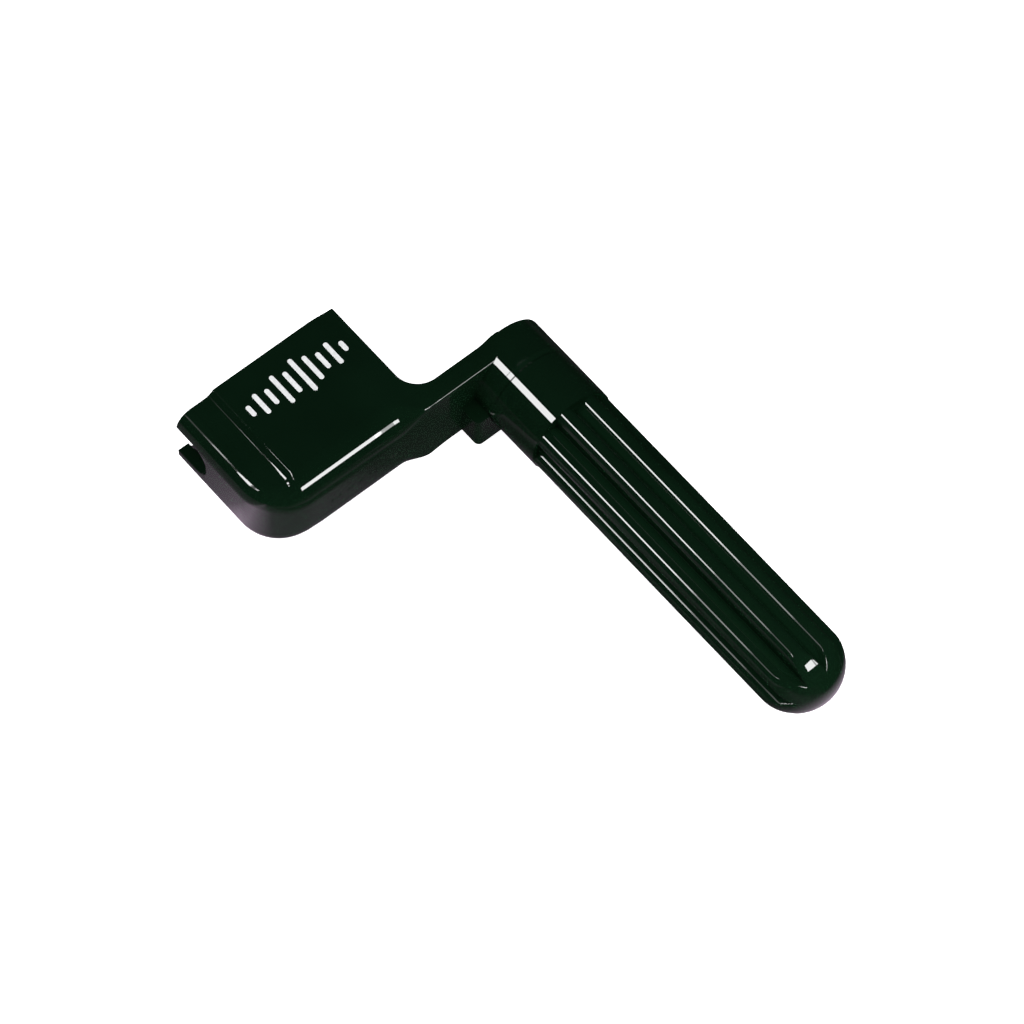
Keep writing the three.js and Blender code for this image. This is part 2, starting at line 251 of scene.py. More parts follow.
def soften_edges(obj, width, angle=math.radians(38), segments=2):
    """Small moulded radius on every crisp edge (obj in millimetres) but the hub's front rim."""
    bm = bmesh.new()
    bm.from_mesh(obj.data)
    bmesh.ops.remove_doubles(bm, verts=bm.verts, dist=2e-4)
    bmesh.ops.dissolve_degenerate(bm, edges=bm.edges, dist=1e-4)

    def on_front(vertex):
        x, y, z = vertex.co
        return x > HUB_END - 0.1 and math.hypot(y, z) < GRIP_RADIUS + 0.05

    crisp = [e for e in bm.edges
             if len(e.link_faces) == 2 and e.calc_face_angle(0) > angle
             and not all(on_front(v) for v in e.verts)]
    bmesh.ops.bevel(bm, geom=crisp, offset=width, offset_type="OFFSET", segments=segments,
                    profile=0.5, affect="EDGES", clamp_overlap=True, miter_outer="ARC")
    bm.to_mesh(obj.data)
    bm.free()


def shade(obj, angle=40):
    """Smooth shading that keeps flats flat."""
    mesh = obj.data
    mesh.shade_smooth()
    mesh.set_sharp_from_angle(angle=math.radians(angle))
    weighted = obj.modifiers.new("weighted_normals", "WEIGHTED_NORMAL")
    weighted.mode = "FACE_AREA"
    weighted.weight = 50
    weighted.keep_sharp = True


# ---------------------------------------------------------------- crank

def plan_outline(corners, spacing):
    """Points (x, y, nx, ny) round a right-angled outline, counter-clockwise, corners (x, y, r)."""
    count = len(corners)
    points = []
    for i, (x, y, r) in enumerate(corners):
        bx, by, _ = corners[i - 1]
        ax, ay, ar = corners[(i + 1) % count]
        a = Vector((x - bx, y - by)).normalized()
        b = Vector((ax - x, ay - y)).normalized()
        turn = math.copysign(1, a.x * b.y - a.y * b.x)
        start = Vector((x, y)) - a * r
        centre = start + Vector((-a.y, a.x)) * r * turn
        steps = max(4, round(abs(r) * 6))
        for k in range(steps + 1):
            t = turn * math.pi / 2 * k / steps
            n = Vector((a.y * math.cos(t) + a.x * math.sin(t),
                        -a.x * math.cos(t) + a.y * math.sin(t)))
            p = centre + n * r * turn
            points.append((p.x, p.y, n.x, n.y))
        begin = Vector((x, y)) + b * r
        end = Vector((ax, ay)) - b * ar
        pieces = max(1, round((end - begin).length / spacing))
        for k in range(1, pieces):
            p = begin.lerp(end, k / pieces)
            points.append((p.x, p.y, b.y, -b.x))
    return points


def step_profile():
    """The rise from the end section to the raised panel, as (distance, height) pairs."""
    rise = PANEL_HALF - END_HALF
    straight = rise - (STEP_FOOT_RADIUS + STEP_CREST_RADIUS) * (1 - math.cos(STEP_SLOPE))
    run = straight / math.tan(STEP_SLOPE)
    length = (STEP_FOOT_RADIUS + STEP_CREST_RADIUS) * math.sin(STEP_SLOPE) + run
    tilts = [STEP_SLOPE * i / 6 for i in range(7)]
    foot = [(STEP_FOOT_RADIUS * math.sin(t), STEP_FOOT_RADIUS * (1 - math.cos(t))) for t in tilts]
    crest = [(length - STEP_CREST_RADIUS * math.sin(t),
              rise - STEP_CREST_RADIUS * (1 - math.cos(t))) for t in reversed(tilts)]
    return foot + crest


STEP = step_profile()


def top_half(y):
    """Height of the crank's upper face above the middle at y."""
    distance = y - PANEL_LEFT
    if distance <= 0:
        return END_HALF
    if distance < STEP[-1][0]:
        for (d0, h0), (d1, h1) in zip(STEP, STEP[1:]):
            if distance <= d1:
                return END_HALF + h0 + (h1 - h0) * (distance - d0) / (d1 - d0)
    drop = smooth((y - PANEL_DROP_START) / (PANEL_DROP_END - PANEL_DROP_START))
    rise = smooth((y - ARM_RISE_START) / (ARM_RISE_END - ARM_RISE_START))
    return PANEL_HALF + (ARM_HALF - PANEL_HALF) * drop + (ARM_TOP_AT_HUB - ARM_HALF) * rise


def under_half(y):
    """Depth of the underside below the middle, a long gentle swell instead of a step."""
    rise = smooth((y - UNDER_RISE_START) / (UNDER_RISE_END - UNDER_RISE_START))
    drop = smooth((y - UNDER_DROP_START) / (UNDER_DROP_END - UNDER_DROP_START))
    return END_HALF + (PANEL_HALF - END_HALF) * rise + (ARM_UNDER_HALF - PANEL_HALF) * drop


def edge_round(x, y, nx, ny):
    """Radius of the rounding between the broad faces and the wall at this place."""
    if x > BASE_X - CORNER_RADIUS - 0.01 and nx > 0.001:
        fade = 1 - smooth((y - BLEND_START) / (BLEND_END - BLEND_START))
        along = smooth((y - HEAD_LEFT) / CORNER_RADIUS)
        full = END_ROUND + (BASE_ROUND - END_ROUND) * along
        return ARM_EDGE + (full - ARM_EDGE) * fade
    if ny < 0:
        return EDGE + (END_ROUND - EDGE) * smooth(-ny)
    if ny > 0 and y < HEAD_RIGHT + ARM_FILLET:
        return EDGE + (RIGHT_ROUND - EDGE) * smooth(ny)
    return EDGE


def crank_plate():
    """Head and arm as one slab with all its upper and lower roundings."""
    outline = plan_outline([
        (RIM_X - OVERRUN, HEAD_LEFT, END_ROUND + 0.5),
        (BASE_X, HEAD_LEFT, CORNER_RADIUS),
        (BASE_X, 0.0, 0.5),
        (ARM_BACK_X, 0.0, 0.5),
        (ARM_BACK_X, HEAD_RIGHT, ARM_FILLET),
        (RIM_X - OVERRUN, HEAD_RIGHT, RIGHT_ROUND + 0.5),
    ], spacing=0.3)
    angles = [math.pi / 2 * i / 14 for i in range(15)]
    columns = []
    for x, y, nx, ny in outline:
        radius = edge_round(x, y, nx, ny)
        face_y = y - ny * radius
        top, under = top_half(face_y), under_half(face_y)
        upper, lower = [], []
        for angle in angles:
            inset = radius * (1 - math.cos(angle))
            drop = radius * (1 - math.sin(angle))
            upper.append((x - nx * inset, y - ny * inset, top - drop))
            lower.append((x - nx * inset, y - ny * inset, drop - under))
        columns.append(lower[::-1] + upper)
    rows = [[column[i] for column in columns] for i in range(len(columns[0]))]
    bm = bmesh.new()
    grid = loft(bm, rows)
    caps = [bm.faces.new(list(reversed(grid[0]))), bm.faces.new(grid[-1])]
    # the caps are cut across wherever a face bends, and then bent
    rim = sorted({round(v.co.y, 4) for v in grid[-1]})
    bends = [y for y in rim
             if UNDER_RISE_START < y < UNDER_RISE_END or PANEL_DROP_START < y < ARM_RISE_END]
    lines = []
    for y in bends + [PANEL_LEFT + d for d, _ in STEP]:
        if all(abs(y - other) > 0.03 for other in lines):
            lines.append(y)
    for y in sorted(lines):
        edges = list({e for f in caps for e in f.edges})
        corners = list({v for f in caps for v in f.verts})
        cut = bmesh.ops.bisect_plane(bm, geom=caps + edges + corners, plane_co=(0, y, 0),
                                     plane_no=(0, 1, 0), dist=2e-3)
        made = {g for g in cut["geom"] if isinstance(g, bmesh.types.BMFace)}
        caps = list(made | {f for f in caps if f.is_valid})
    for vertex in {v for f in caps for v in f.verts}:
        height = vertex.co.z
        vertex.co.z = top_half(vertex.co.y) if height > 0 else -under_half(vertex.co.y)
    bmesh.ops.triangulate(bm, faces=bm.faces)
    return to_object(bm, "crank", scaled=False)


def lug():
    """Stop under the hub, its outer corner rounded in plan."""
    outline = plan_outline([(LUG_BACK, LUG_LEFT, LUG_EDGE), (LUG_FRONT, LUG_LEFT, LUG_CORNER),
                            (LUG_FRONT, 0.0, LUG_EDGE), (LUG_BACK, 0.0, LUG_EDGE)], spacing=2.0)
    bm = bmesh.new()
    levels = (0.05 - ARM_UNDER_HALF, LUG_TOP)
    grid = loft(bm, [[(x, y, z) for x, y, _, _ in outline] for z in levels])
    bm.faces.new(list(reversed(grid[0])))
    bm.faces.new(grid[-1])
    return to_object(bm, "lug", scaled=False)


def mouth_cutter():
    """Everything beyond the mouth of the socket, which is cut off flat."""
    low = (RIM_X - 20, HEAD_LEFT - 5, -20)
    high = (RIM_X, HEAD_RIGHT + 5, 20)
    bm = bmesh.new()
    bmesh.ops.create_cube(bm, size=1)
    for v in bm.verts:
        v.co = Vector([a if c < 0 else b for a, b, c in zip(low, high, v.co)])
    return to_object(bm, "mouth", scaled=False)


def rounded_loop(y0, y1, half, radius, steps=8):
    """Rounded rectangle in Y-Z."""
    loop = []
    for cy, cz, start in ((y1 - radius, half - radius, 0), (y0 + radius, half - radius, 1),
                          (y0 + radius, radius - half, 2), (y1 - radius, radius - half, 3)):
        for i in range(steps + 1):
            t = math.pi / 2 * (start + i / steps)
            loop.append((cy + radius * math.cos(t), cz + radius * math.sin(t)))
    return loop


def socket_cutter():
    """The peg socket: slight draft, rounded corners, and a small radius round its floor."""
    bm = bmesh.new()
    turn_x = BASE_X - FLOOR - SOCKET_FLOOR_ROUND
    sections = [(RIM_X - 3, -SOCKET_DRAFT - 0.02), (RIM_X, -SOCKET_DRAFT), (turn_x, SOCKET_DRAFT)]
    for i in range(1, 7):
        t = math.pi / 2 * i / 6
        sections.append((turn_x + SOCKET_FLOOR_ROUND * math.sin(t),
                         SOCKET_DRAFT + SOCKET_FLOOR_ROUND * (1 - math.cos(t))))
    rows = []
    for x, shrink in sections:
        loop = rounded_loop(HEAD_LEFT + WALL + shrink, HEAD_RIGHT - WALL - shrink,
                            ARM_HALF - WALL - shrink, SOCKET_CORNER)
        rows.append([(x, y, z) for y, z in loop])
    grid = loft(bm, rows)
    bm.faces.new(grid[0])
    bm.faces.new(list(reversed(grid[-1])))
    return to_object(bm, "socket_cutter", scaled=False)


def notch_cutter():
    """U-shaped notch through the end wall, open at the mouth."""
    bm = bmesh.new()
    end = RIM_X + NOTCH_DEPTH
    turn_x = end - NOTCH_CORNER
    profile = [(RIM_X - 3, NOTCH_LOW)]
    profile += arc(turn_x, NOTCH_LOW + NOTCH_CORNER, NOTCH_CORNER, -math.pi / 2, 0, 12)
    profile += arc(turn_x, NOTCH_HIGH - NOTCH_CORNER, NOTCH_CORNER, 0, math.pi / 2, 12)
    profile.append((RIM_X - 3, NOTCH_HIGH))
    rows = [[(x, y, z) for x, z in profile] for y in (HEAD_LEFT - 3, HEAD_LEFT + WALL + 2.5)]
    grid = loft(bm, rows)
    bm.faces.new(grid[0])
    bm.faces.new(list(reversed(grid[-1])))
    return to_object(bm, "notch_cutter", scaled=False)


def hub():
    """Round collar, its back edge rounded and its front rim crisp."""
    bm = bmesh.new()
    back = HUB_BACK_ROUND
    profile = [(0, 0)]
    profile += arc(back, HUB_RADIUS - back, back, math.pi, math.pi / 2, 10)
    profile.append((HUB_END - RIM_ROUND - SUPPORT, HUB_RADIUS))
    profile += arc(HUB_END - RIM_ROUND, HUB_RADIUS - RIM_ROUND, RIM_ROUND, math.pi / 2, 0, 4)
    profile.append((HUB_END, 0))
    lathe(bm, profile, ROUND_SEGMENTS)
    return to_object(bm, "hub", scaled=False)


def ring_clearance():
    """Round space in front of the hub, which the lug passes outside."""
    bm = bmesh.new()
    radius = GRIP_RADIUS + FIT_GAP
    front = HUB_END + 3
    lathe(bm, [(HUB_END, 0), (HUB_END, radius), (front, radius), (front, 0)], ROUND_SEGMENTS)
    return to_object(bm, "ring_clearance", scaled=False)


def axle_hole():
    """Hole for the axle, from just behind its end out through the front."""
    bm = bmesh.new()
    start = from_hub(AXLE_LOW).x - FIT_GAP
    radius = AXLE_RADIUS + FIT_GAP
    lathe(bm, [(start, 0), (start, radius), (HUB_END + 1, radius), (HUB_END + 1, 0)], 64)
    return to_object(bm, "axle_hole", scaled=False)


def crank():
    """The one black moulding: head, arm, hub and lug."""
    body = crank_plate()
    combine(body, hub(), "UNION")
    stop = lug()
    combine(stop, ring_clearance(), "DIFFERENCE")
    combine(body, stop, "UNION")
    for cutter in (mouth_cutter, socket_cutter, notch_cutter, axle_hole):
        combine(body, cutter(), "DIFFERENCE")
    soften_edges(body, MOULD_RADIUS)
    body.data.transform(Matrix.Translation(ORIGIN) @ Matrix.Scale(MM, 4))
    shade(body)
    body.data.materials.clear()
    body.data.materials.append(gloss_plastic("crank_plastic", seed=3.1))
    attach(body, "crank")
    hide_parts("crank_body")
    return body


# ---------------------------------------------------------------- grip

def grip_radius(x):
    """Radius over the crests: a slight taper, then a half sphere."""
    along = min(1.0, (x - GRIP_START) / (DOME_START - GRIP_START))
    plain = GRIP_RADIUS + (DOME_RADIUS - GRIP_RADIUS) * along
    dome = (x - DOME_START) / (GRIP_TIP - DOME_START)
    if dome <= 0:
        return plain
    return plain * math.sqrt(max(0.0, 1 - dome * dome))


def blended_min(a, b, width):
    """The smaller of two radii, with the crossing rounded over a small width."""
    overlap = max(0.0, width - abs(a - b))
    return min(a, b) - overlap * overlap / (4 * width)


def rib_side():
    """(angle, radius) about the axis from a rib's crest to the middle of the groove beside it."""
    half_pitch = math.pi / RIBS
    side = []

    def add(radial, across):
        side.append((math.atan2(across, radial), math.hypot(across, radial)))

    for i in range(17):
        turn = RIB_FLANK * i / 16
        add(RIB_CENTRE + RIB_RADIUS * math.cos(turn), RIB_RADIUS * math.sin(turn))
    reach = RIB_CENTRE * math.cos(RIB_FLANK) + RIB_RADIUS + GROOVE_FILLET
    centre = reach / math.cos(RIB_FLANK - half_pitch)
    tangent = (centre * math.cos(half_pitch) - GROOVE_FILLET * math.cos(RIB_FLANK),
               centre * math.sin(half_pitch) - GROOVE_FILLET * math.sin(RIB_FLANK))
    rod_end = (RIB_CENTRE + RIB_RADIUS * math.cos(RIB_FLANK), RIB_RADIUS * math.sin(RIB_FLANK))
    for i in range(1, 5):
        add(*(a + (b - a) * i / 4 for a, b in zip(rod_end, tangent)))
    for i in range(1, 5):
        turn = RIB_FLANK + (half_pitch - RIB_FLANK) * i / 4
        add(centre * math.cos(half_pitch) - GROOVE_FILLET * math.cos(turn),
            centre * math.sin(half_pitch) - GROOVE_FILLET * math.sin(turn))
    return side


def grip_stations():
    """(x, radius, groove share) from the hub end to the tip."""
    lip = arc(GRIP_START + GRIP_LIP, GRIP_RADIUS - GRIP_LIP, GRIP_LIP, math.pi, math.pi / 2, 5)
    stations = [(x, radius, 0.0) for x, radius in lip]

    def add(x, share):
        stations.append((x, grip_radius(x), share))

    x = GRIP_START + GRIP_LIP
    add(x + SUPPORT, 0.0)
    while x < RIB_START - 1.2:
        x += NECK_STEP
        add(x, 0.0)
    add(RIB_START, 0.0)
    x = RIB_START + START_RUNOUT
    add(x, 1.0)
    while x < DOME_START - 1:
        x += RIB_STEP
        add(x, 1.0)
    for i in range(1, DOME_STEPS):
        add(x + (GRIP_TIP - x) * math.sin(math.pi / 2 * i / DOME_STEPS), 1.0)
    return stations


def grip():
    """The fluted grip as one closed shell: bore and clip pocket inside, ribs and dome outside."""
    side = rib_side()
    columns = []
    for k in range(RIBS):
        crest = RIB_PHASE + 2 * math.pi * k / RIBS
        columns += [(crest - a, r) for a, r in reversed(side[1:-1])]
        columns += [(crest + a, r) for a, r in side]
    bore = AXLE_RADIUS + BORE_GAP
    bore_end = from_hub(AXLE_HIGH).x + BORE_BEYOND_AXLE
    clip_x = from_hub((CLIP_LOW + CLIP_HIGH) / 2).x
    inner = [(bore_end, bore),
             (clip_x + POCKET_HALF, bore), (clip_x + POCKET_HALF, POCKET_RADIUS),
             (clip_x - POCKET_HALF, POCKET_RADIUS), (clip_x - POCKET_HALF, bore),
             (GRIP_START + BORE_CHAMFER, bore), (GRIP_START, bore + BORE_CHAMFER)]
    rows = [[(x, -r * math.sin(angle), r * math.cos(angle)) for angle, _ in columns]
            for x, r in inner]
    for x, radius, share in grip_stations():
        slim = 1 - RIB_SLIM * smooth((x - SLIM_START) / SLIM_LENGTH)
        row = []
        for angle, rib_radius in columns:
            r = radius + (blended_min(radius, rib_radius * slim, RIB_EDGE) - radius) * share
            row.append((x, -r * math.sin(angle), r * math.cos(angle)))
        rows.append(row)
    bm = bmesh.new()
    grid = loft(bm, rows)
    count = len(columns)
    for ring, x in ((grid[0], bore_end), (grid[-1], GRIP_TIP)):
        middle = bm.verts.new((x, 0, 0))
        for j in range(count):
            bm.faces.new((ring[j], ring[(j + 1) % count], middle))
    body = to_object(bm, "grip_shell")
    shade(body, 50)
    body.data.materials.append(gloss_plastic("grip_plastic", seed=8.7, grooved=True))
    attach(body, "grip")
    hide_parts("grip")
    return body


# ---------------------------------------------------------------- small pieces

def thrust_ring():
    """Thin ring between the hub and the grip."""
    bm = bmesh.new()
    inner = AXLE_RADIUS + FIT_GAP
    x0, x1 = HUB_END + 0.005, GRIP_START - FIT_GAP
    turn_0, turn_1, turn_radius = x0 + RIM_ROUND, x1 - RIM_ROUND, HUB_RADIUS - RIM_ROUND
    profile = [(x0, inner)]
    profile += arc(turn_0, turn_radius, RIM_ROUND, math.pi, math.pi / 2, 5)
    profile += [(turn_0 + 0.02, HUB_RADIUS), (turn_1 - 0.02, HUB_RADIUS)]
    profile += arc(turn_1, turn_radius, RIM_ROUND, math.pi / 2, 0, 5)
    profile += [(x1, inner), (x0, inner)]
    lathe(bm, profile, ROUND_SEGMENTS)
    body = to_object(bm, "hub_ring")
    shade(body)
    body.data.materials.append(gloss_plastic("ring_plastic", seed=5.2, roughness=0.02))
    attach(body, "crank")
    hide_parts("thrust_ring")
    return body


def bar_row(name, bars, width, low, high, place):
    """Rounded bars (centre along, centre across, half length, turned) with softened upper rims."""
    bm = bmesh.new()
    radius = width / 2
    for centre, across, half, turned in bars:
        outline = arc(half - radius, 0, radius, -math.pi / 2, math.pi / 2, 10)
        outline += arc(radius - half, 0, radius, math.pi / 2, 3 * math.pi / 2, 10)
        rows = []
        for height, scale in ((low, 1.0), (high - 0.3 * (high - low), 1.0), (high, 0.94)):
            row = []
            for u, v in outline:
                u, v = u * (half - radius + radius * scale) / half, v * scale
                a, b = (centre + u, across + v) if turned else (centre + v, across + u)
                row.append(place(a, b, height))
            rows.append(row)
        grid = loft(bm, rows)
        bm.faces.new(list(reversed(grid[0])))
        bm.faces.new(grid[-1])
    return to_object(bm, name)


def printed_mark():
    """White print on the panel: plain upright bars in the place of the maker's lettering."""
    bars = [(MARK_LEFT + MARK_PITCH * i, MARK_X, half, False) for i, half in enumerate(MARK_BARS)]
    body = bar_row("printed_bars", bars, MARK_WIDTH,
                   PANEL_HALF - MARK_RAISE, PANEL_HALF + MARK_RAISE, lambda a, b, h: (b, a, h))
    shade(body)
    body.data.materials.append(print_ink())
    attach(body, "crank")
    return body


def wall_relief():
    """Low dashes raised on the wall behind the socket, in the place of moulded lettering."""
    bars = [(WALL_LEFT + WALL_PITCH * i, WALL_Z, half, True) for i, half in enumerate(WALL_BARS)]
    body = bar_row("wall_dashes", bars, WALL_WIDTH, BASE_X - 0.06, BASE_X + WALL_RAISE,
                   lambda a, b, h: (h, a, b))
    shade(body)
    body.data.materials.append(gloss_plastic("relief_plastic", seed=3.1, roughness=0.12))
    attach(body, "crank")
    return body


# ---------------------------------------------------------------- materials

PLASTIC_DARK = (0.0019, 0.0082, 0.0034)
PLASTIC_LIGHT = (0.0026, 0.0108, 0.0046)
# painted light: the grip's grooves get a little lighter base colour than its ribs to make up for
# the shade in them, and their reflection is mostly taken out; the grip's grooves look duller and
# a little lighter than its ribs; the cause is not known
GROOVE_PAINTED_LIGHT = (0.0029, 0.0122, 0.0052)
DULL_BELOW = 7.25         # mm from the axis
SHINE_ABOVE = 7.75
SCRATCH_ROUGHNESS = 0.018


def node_tree(name):
    """A new material, its node tree and its shader."""
    material = bpy.data.materials.new(name)
    material.use_nodes = True
    return material, material.node_tree, material.node_tree.nodes["Principled BSDF"]


def mapped(tree, vector, **values):
    """The vector through a Mapping node with the given location, rotation or scale."""
    node = tree.nodes.new("ShaderNodeMapping")
    for key, value in values.items():
        node.inputs[key].default_value = value
    tree.links.new(vector, node.inputs["Vector"])
    return node.outputs["Vector"]


def noise_pattern(tree, vector, scale, detail):
    node = tree.nodes.new("ShaderNodeTexNoise")
    node.inputs["Scale"].default_value = scale
    node.inputs["Detail"].default_value = detail
    tree.links.new(vector, node.inputs["Vector"])
    return node.outputs["Fac"]


def two_tone(tree, value, low, high):
    """A ramp between two (position, colour) stops."""
    node = tree.nodes.new("ShaderNodeValToRGB")
    for element, (position, color) in zip(node.color_ramp.elements, (low, high)):
        element.position = position
        element.color = color + (1,)
    tree.links.new(value, node.inputs["Fac"])
    return node.outputs["Color"]


def remapped(tree, value, from_range=(0, 1), to_range=(0, 1), soft=False):
    """The value carried from one range to another, clamped, eased at both ends if soft."""
    node = tree.nodes.new("ShaderNodeMapRange")
    if soft:
        node.interpolation_type = "SMOOTHSTEP"
    for key, number in zip(("From Min", "From Max", "To Min", "To Max"), from_range + to_range):
        node.inputs[key].default_value = number
    tree.links.new(value, node.inputs["Value"])
    return node.outputs["Result"]


def vector_math(tree, operation, vector, other=None, scale=None):
    """One Vector Math node; each argument is a constant or a socket."""
    node = tree.nodes.new("ShaderNodeVectorMath")
    node.operation = operation
    given = [(node.inputs[0], vector), (node.inputs[1], other)]
    if operation == "SCALE":
        given.append((node.inputs["Scale"], scale))
    for socket, source in given:
        if isinstance(source, bpy.types.NodeSocket):
            tree.links.new(source, socket)
        elif source is not None:
            socket.default_value = source
    single = operation in ("LENGTH", "DISTANCE", "DOT_PRODUCT")
    return node.outputs["Value" if single else "Vector"]


def add_bump(tree, shader, height, strength, distance):
    node = tree.nodes.new("ShaderNodeBump")
    node.inputs["Strength"].default_value = strength
    node.inputs["Distance"].default_value = distance
    tree.links.new(height, node.inputs["Height"])
    tree.links.new(node.outputs["Normal"], shader.inputs["Normal"])


def gloss_plastic(name, seed, roughness=0.012, grooved=False):
    """Polished black moulding: faint flow mottling, fine handling scratches, slight waviness."""
    material, tree, shader = node_tree(name)
    shader.inputs["IOR"].default_value = 1.5
    place = tree.nodes.new("ShaderNodeTexCoord").outputs["Object"]
    shifted = mapped(tree, place, Location=(seed, seed * 0.7, seed * 0.3))
    flow = noise_pattern(tree, shifted, 60, 3)
    tint = two_tone(tree, flow, (0.3, PLASTIC_DARK), (0.75, PLASTIC_LIGHT))
    scratches = noise_pattern(
        tree, mapped(tree, shifted, Scale=(90, 900, 900), Rotation=(0.4, 0.2, 0.5)), 3, 4)
    rough = remapped(tree, scratches, (0.35, 0.75), (roughness, roughness + SCRATCH_ROUGHNESS))
    tree.links.new(rough, shader.inputs["Roughness"])
    # in the grooves the reflection is mostly taken out and the base colour is lifted by painted
    # light against their shade
    if grooved:
        shine = groove_shine(tree, place)
        tree.links.new(shine, shader.inputs["Specular Tint"])
        tint = with_groove_painted_light(tree, tint, shine)
    tree.links.new(tint, shader.inputs["Base Color"])
    add_bump(tree, shader, noise_pattern(tree, shifted, 260, 2), 0.01, 0.0002)
    return material


def groove_shine(tree, place):
    """0 in the grip's grooves, where the reflection is mostly taken out and painted light lifts the
    base colour, and 1 on its ribs and dome.
    """
    from_dome = mapped(tree, place, Location=(-ORIGIN.x - DOME_START * MM, -ORIGIN.y, -ORIGIN.z))
    # before the dome the distance is from the axis, in the dome from its centre
    from_core = vector_math(tree, "MAXIMUM", from_dome, (0, -1, -1))
    radius = vector_math(tree, "LENGTH", from_core)
    return remapped(tree, radius, (DULL_BELOW * MM, SHINE_ABOVE * MM), soft=True)


def with_groove_painted_light(tree, tint, shine):
    """The plastic's tint where it shines, and the lighter tint of painted light in the grooves
    where it does not.
    """
    node = tree.nodes.new("ShaderNodeMix")
    node.data_type = "RGBA"
    sockets = {socket.identifier: socket for socket in node.inputs}
    sockets["A_Color"].default_value = GROOVE_PAINTED_LIGHT + (1,)
    tree.links.new(shine, sockets["Factor_Float"])
    tree.links.new(tint, sockets["B_Color"])
    return next(socket for socket in node.outputs if socket.identifier == "Result_Color")


def print_ink():
    """Matt white pad print, a little thin in places."""
    material, tree, shader = node_tree("mark_ink")
    place = tree.nodes.new("ShaderNodeTexCoord").outputs["Object"]
    grain = noise_pattern(tree, place, 1400, 4)
    tint = two_tone(tree, grain, (0.3, (0.74, 0.76, 0.76)), (0.6, (0.9, 0.91, 0.92)))
    tree.links.new(tint, shader.inputs["Base Color"])
    tree.links.new(remapped(tree, grain, to_range=(0.42, 0.6)), shader.inputs["Roughness"])
    add_bump(tree, shader, grain, 0.15, 0.00002)
    return material


def turned_steel(name, color, roughness):
    """Bright steel with fine turning rings round the X axis."""
    material, tree, shader = node_tree(name)
    shader.inputs["Metallic"].default_value = 1.0
    place = tree.nodes.new("ShaderNodeTexCoord").outputs["Object"]
    rings = noise_pattern(tree, mapped(tree, place, Scale=(6000, 60, 60)), 1, 3)
    tint = two_tone(tree, rings, (0, tuple(c * 0.8 for c in color)), (1, color))
    tree.links.new(tint, shader.inputs["Base Color"])
    rough = remapped(tree, rings, to_range=(roughness, roughness + 0.15))
    tree.links.new(rough, shader.inputs["Roughness"])
    add_bump(tree, shader, rings, 0.2, 0.00003)
    return material


def finish_node(name, material):
    """Gives a CAD node that stays in the scene its material."""
    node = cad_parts[name]
    node.data.materials.clear()
    node.data.materials.append(material)


# ---------------------------------------------------------------- stage, light, camera

AZIMUTH = math.radians(50.25)
ELEVATION = math.radians(60.97)
DISTANCE = 1085.0
LENS = 210.9
AIM = (20.5, -14.0, -13.7)

# Painted reflection: a plane that only reflections see glows with the table's light and the part's
# shadow, as listed below.
# The table as the gloss mirrors it, set to match the photograph's reflections. Its
# brightness goes by the place x + TABLE_SKEW * y, in hub millimetres: bright near the head's
# end, dim between the head and the grip, brighter again by the hub.
TABLE_SKEW = 0.6
TABLE_SPAN = (-60.0, 120.0)
TABLE_PAINTED_LIGHT = ((-58, 0.18), (-50, 0.28), (-46, 0.38), (-43.5, 0.8), (-41, 1.0), (-38.5, 0.8),
               (-36, 0.62), (-31, 0.24), (-22, 0.19), (-13, 0.15), (-8, 0.05), (1, 0.03),
               (4, 0.05), (9, 0.1), (13, 0.26), (18, 0.26), (24, 0.12), (34, 0.05), (70, 0.04),
               (86, 0.07), (94, 0.15), (106, 0.12), (118, 0.03))
BEHIND_GRIP = (1, 7)      # painted shadow: over this stretch of y the table dims to the fraction set next
BEHIND_SHADOW_LEVEL = 0.12
# painted light: a glowing patch on the mirrored table just beyond the tip
TIP_GLOW_AT = (93.0, 4.5)
TIP_GLOW_RADIUS = 17.0
TIP_GLOW = 0.9

# the lights stand where the photograph's highlights ask for them
LEFT_DIRECTION = (-0.387, -0.515, 0.765)
LEFT_DISTANCE = 0.8
# name, start and end across the light (mm), radiance and height (metres)
LEFT_STRIPS = (
    ("left_spill_a", -34, -25, 1.0, 0.10),
    ("left_spill_b", -25, -21.5, 2.6, 0.10),
    ("left_spill_c", -21.5, -15.5, 8.5, 0.10),
    ("left_spill_d", -15.5, -13, 3.6, 0.10),
    ("left_spill_e", -13, -9.6, 0.2, 0.10),
    ("left_box", -9.6, 91, 20.5, 0.19),
    ("left_fade_a", 91, 99, 14, 0.19),
    ("left_fade_b", 99, 123, 6, 0.19),
    ("left_fade_c", 123, 200, 2, 0.15),
    ("left_end", 200, 290, 11, 0.10),
)
RIGHT_DIRECTION = (0.79, 0.295, 0.50)
RIGHT_DISTANCE = 0.25
RIGHT_HEIGHT = 0.054
# name, width along Y (metres), radiance and place along Y (metres)
RIGHT_BOXES = (
    ("right_box", 0.066, 20.5, -0.0635),
    ("right_wing", 0.033, 16, 0.002),
    ("right_tail", 0.016, 9, -0.0225),
)


def camera():
    """The photograph's view: fitted azimuth, elevation, distance and lens."""
    data = bpy.data.cameras.new("camera")
    data.lens = LENS
    data.sensor_width = 36
    data.clip_start = 0.01
    data.clip_end = 20
    obj = bpy.data.objects.new("camera", data)
    bpy.context.scene.collection.objects.link(obj)
    forward = Vector((-math.sin(AZIMUTH) * math.cos(ELEVATION),
                      math.cos(AZIMUTH) * math.cos(ELEVATION),
                      -math.sin(ELEVATION)))
    aim = ORIGIN + Vector(AIM) * MM
    obj.location = aim - forward * DISTANCE * MM
    obj.rotation_euler = forward.to_track_quat("-Z", "Y").to_euler()
    bpy.context.scene.camera = obj


